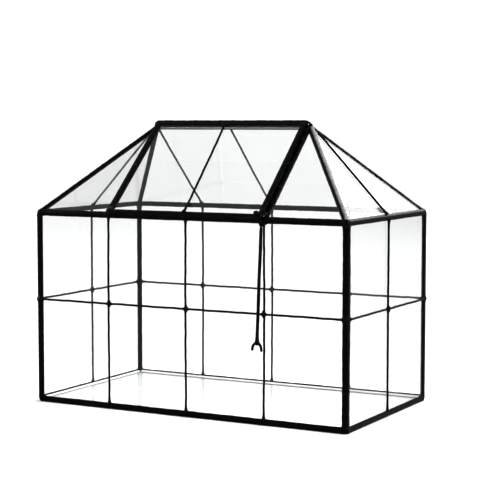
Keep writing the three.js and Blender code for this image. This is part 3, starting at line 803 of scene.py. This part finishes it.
def bent_wire(path, radius, square, cols=16):
    """(shell, crest) of a tube along path (mm) with radius per row. square is the direction that
    stays square to the bend. A tip is a half ball: radius r cos a at r sin a past the end."""
    radius = np.broadcast_to(radius, len(path)).astype(float)
    round_end = np.radians([15, 32, 50, 68, 84])
    for _ in range(2):
        way = path[-1] - path[-2]
        way = way / np.linalg.norm(way)
        path = np.vstack([path, path[-1] + np.sin(round_end)[:, None] * radius[-1] * way])
        radius = np.concatenate([radius, radius[-1] * np.cos(round_end)])
        path, radius = path[::-1], radius[::-1]
    forward = np.gradient(path, axis=0)
    forward /= np.linalg.norm(forward, axis=1)[:, None]
    first = np.asarray(square, float) - (forward @ square)[:, None] * forward
    first /= np.linalg.norm(first, axis=1)[:, None]
    second = np.cross(forward, first)
    angle = np.linspace(0, 2 * np.pi, cols, endpoint=False)
    ring = np.cos(angle)[None, :, None] * first[:, None]
    ring = ring + np.sin(angle)[None, :, None] * second[:, None]
    points = (path[:, None] + radius[:, None, None] * ring) * MM
    crest = np.clip(0.55 + 0.3 * np.sin(3 * angle)[None, :] * np.ones((len(path), 1)), 0, 1)
    return tube_shell(points), np.concatenate([crest.ravel(), [0.5, 0.5]])


def slope_mm(x, v, w):
    """A place in slope measures, given in mm in the object's own frame."""
    return on_slope(x, v, w) / MM


# %% Hinge pin
(pin_x0, pin_x1), _, _ = slope_extent("hinge_pin")
PIN_RADIUS = 0.8
pin_x0, pin_x1 = pin_x0 + PIN_RADIUS, pin_x1 - PIN_RADIUS
pin_path = eased_path([
    slope_mm(pin_x0, PIVOT_V - 0.3, 0.5), slope_mm(pin_x0, PIVOT_V, PIVOT_W),
    slope_mm(pin_x1, PIVOT_V, PIVOT_W), slope_mm(pin_x1, PIVOT_V - 0.3, 0.5)], 1.1, step=1.0)
pin_feet = [bead(on_slope(x, PIVOT_V - 0.3, 0.6), (ACROSS * 1.7, SLOPE_UP * 1.7, SLOPE_OUT * 0.8))
            for x in (pin_x0, pin_x1)]
piece("hinge_wire", [bent_wire(pin_path, PIN_RADIUS, SLOPE_UP)] + pin_feet, "case", "black_wire",
      ["hinge_pin"])
print("hinge wire", round(pin_x1 - pin_x0, 1), "mm between its feet")

# %% Knob and peg
KNOB_RADIUS = 2.1
PEG_RADIUS = 0.7
knob_low, knob_high = (np.array(corner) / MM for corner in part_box("lid_knob"))
knob_x = (knob_low[0] + knob_high[0]) / 2
_, (_, knob_v1), (_, knob_w1) = slope_extent("lid_knob")
knob_v, knob_w = knob_v1 - KNOB_RADIUS, knob_w1 - KNOB_RADIUS
KNOB_SHIFT = 0.6  # the ball sits a little to the left of its peg
knob_ball = bead(on_slope(knob_x - KNOB_SHIFT, knob_v, knob_w),
                 (ACROSS * KNOB_RADIUS, SLOPE_UP * KNOB_RADIUS, SLOPE_OUT * 2), rows=24)
knob_foot = bead(on_slope(knob_x - 0.5, knob_v, lid_w1 - 0.05),
                 (ACROSS * 1.9, SLOPE_UP * 1.6, SLOPE_OUT * 0.7))
peg_head = slope_mm(knob_x, knob_v, (lid_w0 + lid_w1) / 2)
peg_tip = np.array([knob_x, peg_head[1], knob_low[2] + PEG_RADIUS])
peg_path = eased_path([slope_mm(knob_x, knob_v, knob_w), peg_head, peg_tip], 0.8)
piece("lid_ball_knob", [knob_ball, knob_foot, bent_wire(peg_path, PEG_RADIUS, ACROSS)], "lid",
      "black_rod", ["lid_knob"])
print("knob at x", round(knob_x, 1), "and its peg down to z", round(knob_low[2], 1))

# %% Staple
prop_joint = next(j for j in frame["joints"] if j["child"] == "prop")
prop_pivot = np.array(prop_joint["pos_m"]) / MM
STAPLE_HALF, STAPLE_WIRE = 1.5, 0.6
front_y = EAVES["front", "left"][1] / MM
STAPLE_RISE = 1
staple_feet_x = prop_pivot[0] - STAPLE_HALF, prop_pivot[0] + STAPLE_HALF
staple = eased_path([
    (staple_feet_x[0], front_y + 0.3, prop_pivot[2] + STAPLE_RISE),
    prop_pivot - (STAPLE_HALF, 0, 0),
    prop_pivot + (STAPLE_HALF, 0, 0),
    (staple_feet_x[1], front_y + 0.3, prop_pivot[2] + STAPLE_RISE)], 0.6)
staple_feet = [bead(np.array((x, front_y - 0.75, prop_pivot[2] + STAPLE_RISE)) * MM,
                    axes_of(1.5, 0.7, 1.5)) for x in staple_feet_x]
piece("prop_loop", [bent_wire(staple, STAPLE_WIRE, (0, 0.25, 0.97))] + staple_feet, "case",
      "black_wire", ["prop_staple"])
print("staple at x", round(prop_pivot[0], 1), "z", round(prop_pivot[2], 1))

# %% [markdown]
# ## The prop rod
# A straight rod that hangs from the staple by a small eye. Its foot is split into a fork that
# takes the peg under the knob and holds the lid up. It is four bent wires run together, as it
# would be at the bench, and a bead of solder fills the crotch of the fork. The eye is a ring
# turned about the staple, so it stays linked when the rod swings.

# %% Prop rod
EYE_RADIUS, EYE_WIRE = 1.55, 0.6
ROD_RADIUS, PRONG_RADIUS = 1.15, 0.9
ROD_LENGTH, FORK_TAPER = 81.0, 4.0
PRONG_SPREAD, PRONG_DEPTH = 3.5, 4.3
lean = np.arcsin((prop_pivot[0] - knob_x) / ROD_LENGTH)


def on_rod(distance, side=0.0, forward=0.0):
    """A place on the hanging rod: distance down from its pivot, and to one side of it, in mm."""
    down = np.array([-np.sin(lean), 0, -np.cos(lean)])
    aside = np.array([np.cos(lean), 0, -np.sin(lean)])
    return prop_pivot + distance * down + side * aside + np.array([0, forward, 0])


turn = np.linspace(0, 2 * np.pi, 48, endpoint=False)[:, None]
round_wire = np.linspace(0, 2 * np.pi, 14, endpoint=False)[None, :]
eye_reach = EYE_RADIUS + EYE_WIRE * np.cos(round_wire)
eye_points = prop_pivot + np.stack([
    EYE_WIRE * np.sin(round_wire) * np.ones_like(turn),
    eye_reach * np.sin(turn),
    eye_reach * np.cos(turn)], -1)
eye_part = (ring_shell(eye_points * MM), 0.5)

down = np.linspace(EYE_RADIUS + 0.35, ROD_LENGTH - 1.2, 90)
neck = np.exp(-(down - EYE_RADIUS) / 1.6)
rod_radius = ROD_RADIUS * (1 - 0.42 * neck) + waves(down * MM, (31, 12, 5.5), 0.05) / MM
rod_radius = rod_radius * (1 - 0.25 * np.clip((down - ROD_LENGTH + 3) / 3, 0, 1))
sway = waves(down * MM, (90, 37), 0.12)[:, None] / MM * ACROSS
rod_path = np.linspace(on_rod(down[0]), on_rod(down[-1]), len(down)) + sway
shaft_part = bent_wire(rod_path, rod_radius, (0, 1, 0), cols=20)
fork_parts = []
for sign in (-1, 1):
    path = eased_path([
        on_rod(ROD_LENGTH - FORK_TAPER, sign * 0.25),
        on_rod(ROD_LENGTH - 0.8, sign * 0.7),
        on_rod(ROD_LENGTH + 1.3, sign * PRONG_SPREAD * 0.85),
        on_rod(ROD_LENGTH + PRONG_DEPTH, sign * PRONG_SPREAD)], 1.2)
    taper = np.linspace(1.1, 1.0, len(path)) * PRONG_RADIUS
    fork_parts.append(bent_wire(path, taper, (0, 1, 0)))
crotch = bead(on_rod(ROD_LENGTH - 0.9) * MM, axes_of(1.7, 1.25, 2.1))
rod_parts = [eye_part, shaft_part, crotch] + fork_parts
piece("prop_fork_rod", rod_parts, "prop", "black_rod", ["prop_rod"])
print("rod", ROD_LENGTH, "mm long, fork tips", 2 * PRONG_SPREAD, "mm apart")

# %% [markdown]
# ## A black finish worked by hand
# The came is soldered, then blackened and waxed. The black is thin: it is deepest in hollows
# and wears on raised edges until a little grey metal shows. Wax leaves a gloss that changes
# from place to place. Plain black paint would have one colour and one gloss. Three kinds of
# metal need this finish, each at its own scale, so it is one node group with inputs. A second
# attribute mixes in a bright solder colour, which is a painted highlight.

# %% Node group: blackened metal
def socket(group, name, kind, way, value=None):
    """One named input or output on a node group, with the value it starts from."""
    made_socket = group.interface.new_socket(name, in_out=way, socket_type=kind)
    if value is not None:
        made_socket.default_value = value


# bright colour used only as painted light: the line under the glass and the crown highlights
PAINTED_HIGHLIGHT_COLOR = (0.7, 0.7, 0.69, 1)


def blackened_group():
    """Group that gives Color, Roughness and Height from position, crest and its own inputs."""
    group = bpy.data.node_groups.new("blackened_metal", "ShaderNodeTree")
    socket(group, "Deep Black", "NodeSocketColor", "INPUT", (0.0015, 0.0015, 0.0017, 1))
    socket(group, "Worn Grey", "NodeSocketColor", "INPUT", (0.016, 0.016, 0.017, 1))
    socket(group, "Lump Scale", "NodeSocketFloat", "INPUT", 260)
    socket(group, "Grain Scale", "NodeSocketFloat", "INPUT", 1500)
    socket(group, "Wear", "NodeSocketFloat", "INPUT", 0.5)
    socket(group, "Smooth", "NodeSocketFloat", "INPUT", 0.2)
    socket(group, "Rough", "NodeSocketFloat", "INPUT", 0.5)
    socket(group, "Color", "NodeSocketColor", "OUTPUT")
    socket(group, "Roughness", "NodeSocketFloat", "OUTPUT")
    socket(group, "Height", "NodeSocketFloat", "OUTPUT")
    node, link = group.nodes.new, group.links.new
    given, result = node("NodeGroupInput"), node("NodeGroupOutput")
    place = node("ShaderNodeTexCoord").outputs["Object"]
    crest, painted_highlight = node("ShaderNodeAttribute"), node("ShaderNodeAttribute")
    crest.attribute_name, painted_highlight.attribute_name = "crest", "painted_highlight"

    def noise(scale, detail):
        made_noise = node("ShaderNodeTexNoise")
        made_noise.inputs["Detail"].default_value = detail
        made_noise.inputs["Roughness"].default_value = 0.55
        link(place, made_noise.inputs["Vector"])
        if isinstance(scale, str):
            link(given.outputs[scale], made_noise.inputs["Scale"])
        else:
            made_noise.inputs["Scale"].default_value = scale
        return made_noise.outputs["Fac"]

    def math(kind, a, b, clamp=False):
        made_math = node("ShaderNodeMath")
        made_math.operation, made_math.use_clamp = kind, clamp
        for value, made_input in zip((a, b), made_math.inputs):
            if isinstance(value, (int, float)):
                made_input.default_value = value
            else:
                link(value, made_input)
        return made_math.outputs[0]

    lumps, grain, cloud = noise("Lump Scale", 3), noise("Grain Scale", 2), noise(38, 3)
    rubbed = math("MULTIPLY", crest.outputs["Fac"], math("ADD", lumps, cloud))
    rubbed = math("MULTIPLY", math("SUBTRACT", rubbed, 0.62), 3.2, clamp=True)
    rubbed = math("MULTIPLY", rubbed, given.outputs["Wear"], clamp=True)
    speck = math("MULTIPLY", math("SUBTRACT", grain, 0.58), 4, clamp=True)
    mask = math("ADD", rubbed, math("MULTIPLY", speck, 0.12), clamp=True)
    colour = node("ShaderNodeMix")
    colour.data_type = "RGBA"
    link(mask, colour.inputs["Factor"])
    link(given.outputs["Deep Black"], colour.inputs["A"])
    link(given.outputs["Worn Grey"], colour.inputs["B"])
    # painted highlight: the bright colour mixed in where the highlight attribute is set
    highlight_mix = node("ShaderNodeMix")
    highlight_mix.data_type = "RGBA"
    highlight_mix.inputs["B"].default_value = PAINTED_HIGHLIGHT_COLOR
    link(painted_highlight.outputs["Fac"], highlight_mix.inputs["Factor"])
    link(colour.outputs["Result"], highlight_mix.inputs["A"])
    link(highlight_mix.outputs["Result"], result.inputs["Color"])
    haze = math("ADD", cloud, math("MULTIPLY", lumps, 0.6))
    haze = math("MULTIPLY", math("SUBTRACT", haze, 0.5), 1.6, clamp=True)
    spread = math("SUBTRACT", given.outputs["Rough"], given.outputs["Smooth"])
    gloss = math("ADD", given.outputs["Smooth"], math("MULTIPLY", haze, spread))
    link(gloss, result.inputs["Roughness"])
    link(math("ADD", lumps, math("MULTIPLY", grain, 0.14)), result.inputs["Height"])
    return group


blackened = blackened_group()
print("group outputs:", [s.name for s in blackened.interface.items_tree if s.in_out == "OUTPUT"])

# %% Blackened metals
def blackened_metal(name, bump, coat, **values):
    """A material of the blackened finish: group values, bump height in mm, and wax as a coat."""
    material = bpy.data.materials.new(name)
    material.use_nodes = True
    nodes, link = material.node_tree.nodes, material.node_tree.links.new
    shader = nodes["Principled BSDF"]
    finish = nodes.new("ShaderNodeGroup")
    finish.node_tree = blackened
    for key, value in values.items():
        finish.inputs[key.replace("_", " ")].default_value = value
    raised = nodes.new("ShaderNodeBump")
    raised.inputs["Distance"].default_value = bump * MM
    link(finish.outputs["Height"], raised.inputs["Height"])
    link(finish.outputs["Color"], shader.inputs["Base Color"])
    link(finish.outputs["Roughness"], shader.inputs["Roughness"])
    link(raised.outputs["Normal"], shader.inputs["Normal"])
    shader.inputs["Metallic"].default_value = 0.0
    shader.inputs["IOR"].default_value = 1.35
    shader.inputs["Specular IOR Level"].default_value = 0.18
    shader.inputs["Coat Weight"].default_value = coat
    shader.inputs["Coat Roughness"].default_value = 0.12
    return material


metals = {
    "black_came": blackened_metal("blackened_came", 0.2, 0.12,
                                  Lump_Scale=270, Wear=0.4, Smooth=0.12, Rough=0.3),
    "black_wire": blackened_metal("blackened_wire", 0.1, 0.08,
                                  Lump_Scale=420, Wear=0.35, Smooth=0.22, Rough=0.5),
    "black_rod": blackened_metal("blackened_rod", 0.08, 0.15,
                                 Lump_Scale=340, Wear=0.45, Smooth=0.14, Rough=0.36),
}
for obj, slot in made:
    obj.data.materials.append(metals[slot])
print("metal pieces:", len(made))

# %% [markdown]
# ## Glass
# Clear sheet glass, two millimetres thick. A single sheet with some alpha would be lighter to
# render, but it would show no edge and bend nothing, so the panes stay real slabs with two
# faces. Old or hand-cut sheet is not dead flat, so a very low, slow bump bends reflections a
# little. A trace of haze from handling roughens it in patches. Shadow rays pass straight
# through, because Blender would otherwise leave whatever is under the glass in the dark.

# %% Sheet glass
CLEAN_TINT = (0.992, 0.996, 0.994, 1)
SMEARED_TINT = (0.98, 0.988, 0.985, 1)
SHADOW_TINT = (0.98, 0.985, 0.983, 1)


def sheet_glass():
    """Glass for the panes: plain transmission, with slow waviness and faint smears."""
    material = bpy.data.materials.new("sheet_glass")
    material.use_nodes = True
    nodes, link = material.node_tree.nodes, material.node_tree.links.new
    shader, output = nodes["Principled BSDF"], nodes["Material Output"]
    shader.inputs["Transmission Weight"].default_value = 1.0
    shader.inputs["IOR"].default_value = 1.46
    shader.inputs["Metallic"].default_value = 0.0
    place = nodes.new("ShaderNodeTexCoord").outputs["Object"]
    slow, smear = nodes.new("ShaderNodeTexNoise"), nodes.new("ShaderNodeTexNoise")
    for texture, scale in ((slow, 14), (smear, 45)):
        texture.inputs["Scale"].default_value = scale
        texture.inputs["Detail"].default_value = 2
        link(place, texture.inputs["Vector"])
    wavy = nodes.new("ShaderNodeBump")
    wavy.inputs["Distance"].default_value = 0.25 * MM
    link(slow.outputs["Fac"], wavy.inputs["Height"])
    link(wavy.outputs["Normal"], shader.inputs["Normal"])
    haze = nodes.new("ShaderNodeMapRange")
    haze.inputs["From Min"].default_value, haze.inputs["From Max"].default_value = 0.5, 0.8
    haze.inputs["To Min"].default_value, haze.inputs["To Max"].default_value = 0.0, 0.03
    link(smear.outputs["Fac"], haze.inputs["Value"])
    link(haze.outputs["Result"], shader.inputs["Roughness"])
    tint = nodes.new("ShaderNodeMix")
    tint.data_type = "RGBA"
    tint.inputs["A"].default_value = CLEAN_TINT
    tint.inputs["B"].default_value = SMEARED_TINT
    link(smear.outputs["Fac"], tint.inputs["Factor"])
    link(tint.outputs["Result"], shader.inputs["Base Color"])
    ray, through, mix = (nodes.new("ShaderNode" + kind) for kind in (
        "LightPath", "BsdfTransparent", "MixShader"))
    through.inputs["Color"].default_value = SHADOW_TINT
    link(ray.outputs["Is Shadow Ray"], mix.inputs["Fac"])
    link(shader.outputs["BSDF"], mix.inputs[1])
    link(through.outputs["BSDF"], mix.inputs[2])
    link(mix.outputs["Shader"], output.inputs["Surface"])
    return material


glass = sheet_glass()
panes = [name for name in frame["nodes"] if name.endswith("_pane")]
for name in panes:
    frame["nodes"][name].material_slots[0].material = glass
print("panes:", len(panes))

# %% [markdown]
# ## Floor and light
# A pale table and a pale surround, as in a light tent. A tent that is white all round would
# be mirrored in every pane and turn the black to grey. Studios hang dark cloth where the
# object would mirror the tent. Here the table and the surround are dimmer to rays that have
# been mirrored than to rays seen straight on, and the light from above is kept out of
# mirrors. Soft lamps on both sides and behind draw the long highlights.

# %% Floor
def pale_table():
    """White matt table, grey to rays that were mirrored, so the panes don't veil the object."""
    material = bpy.data.materials.new("pale_table")
    material.use_nodes = True
    nodes, link = material.node_tree.nodes, material.node_tree.links.new
    nodes.remove(nodes["Principled BSDF"])
    ray, seen, reflected, mix = (nodes.new("ShaderNode" + kind) for kind in (
        "LightPath", "BsdfDiffuse", "BsdfDiffuse", "MixShader"))
    seen.inputs["Color"].default_value = (0.95, 0.95, 0.95, 1)
    reflected.inputs["Color"].default_value = (0.3, 0.3, 0.3, 1)
    mirrored = nodes.new("ShaderNodeMath")
    mirrored.operation = "GREATER_THAN"
    link(ray.outputs["Glossy Depth"], mirrored.inputs[0])
    link(mirrored.outputs[0], mix.inputs["Fac"])
    link(seen.outputs["BSDF"], mix.inputs[1])
    link(reflected.outputs["BSDF"], mix.inputs[2])
    link(mix.outputs["Shader"], nodes["Material Output"].inputs["Surface"])
    return material


floor_mesh = bpy.data.meshes.new("floor")
FLOOR_HALF = 6.0
floor_level = cad_box[0][2] - 0.1 * MM
floor_corners = [(x * FLOOR_HALF, y * FLOOR_HALF, floor_level)
                 for x, y in ((-1, -1), (1, -1), (1, 1), (-1, 1))]
floor_mesh.from_pydata(floor_corners, [], [(0, 1, 2, 3)])
floor = bpy.data.objects.new("floor", floor_mesh)
floor_mesh.materials.append(pale_table())
bpy.context.collection.objects.link(floor)
print("table top at", floor_level)

# %% Surround and lamps
world = bpy.data.worlds.new("light_tent")
bpy.context.scene.world = world
world.use_nodes = True
nodes, link = world.node_tree.nodes, world.node_tree.links.new
SEEN_STRENGTH, FILL_STRENGTH, MIRRORED_EXTRA = 1.08, 0.15, 0.4
seen, reflected = nodes["Background"], nodes.new("ShaderNodeBackground")
mix, ray = nodes.new("ShaderNodeMixShader"), nodes.new("ShaderNodeLightPath")
seen.inputs["Color"].default_value = reflected.inputs["Color"].default_value = (1, 1, 1, 1)
seen.inputs["Strength"].default_value = SEEN_STRENGTH
either, straight, direct, dim = (nodes.new("ShaderNodeMath") for _ in range(4))
either.operation, straight.operation = "MAXIMUM", "LESS_THAN"
direct.operation, dim.operation = "MULTIPLY", "MULTIPLY_ADD"
link(ray.outputs["Is Glossy Ray"], dim.inputs[0])
dim.inputs[1].default_value, dim.inputs[2].default_value = MIRRORED_EXTRA, FILL_STRENGTH
link(dim.outputs[0], reflected.inputs["Strength"])
link(ray.outputs["Is Camera Ray"], either.inputs[0])
link(ray.outputs["Is Transmission Ray"], either.inputs[1])
link(ray.outputs["Glossy Depth"], straight.inputs[0])
link(straight.outputs[0], direct.inputs[0])
link(either.outputs[0], direct.inputs[1])
link(direct.outputs[0], mix.inputs["Fac"])
link(reflected.outputs["Background"], mix.inputs[1])
link(seen.outputs["Background"], mix.inputs[2])
link(mix.outputs["Shader"], nodes["World Output"].inputs["Surface"])


def lamp(name, place, size, watts):
    """A soft oblong lamp, size (wide, high) in metres, that faces the middle of the object."""
    data = bpy.data.lights.new(name, "AREA")
    data.shape, data.energy = "RECTANGLE", watts
    data.size, data.size_y = size
    obj = bpy.data.objects.new(name, data)
    obj.location = place
    towards = np.array([0, 0, 0.1]) - place
    yaw = np.arctan2(towards[1], towards[0]) - np.pi / 2
    dip = np.arctan2(-towards[2], np.hypot(towards[0], towards[1]))
    obj.rotation_euler = (np.pi / 2 - dip, 0, yaw)
    bpy.context.collection.objects.link(obj)


LAMPS = {  # place, then width and height in m, and power in watts
    "left_strip": ((-1.3, -0.9, 0.7), (0.25, 1.1), 9),
    "right_strip": ((1.4, -0.1, 0.8), (0.25, 1.1), 9),
    "back_strip": ((0.2, 1.6, 0.9), (1.2, 0.35), 3.5),
}
for name, (place, size, watts) in LAMPS.items():
    lamp(name, place, size, watts)
sky_data = bpy.data.lights.new("overhead", "SUN")
sky_data.energy, sky_data.angle = 3.35, np.radians(60)
sky = bpy.data.objects.new("overhead", sky_data)
sky.rotation_euler = np.radians((-20, 14, 0))
sky.visible_glossy = False
bpy.context.collection.objects.link(sky)
bpy.context.scene.view_settings.view_transform = "Standard"
bpy.context.scene.view_settings.gamma = 0.75
print("lamps:", ", ".join(LAMPS), "and overhead")
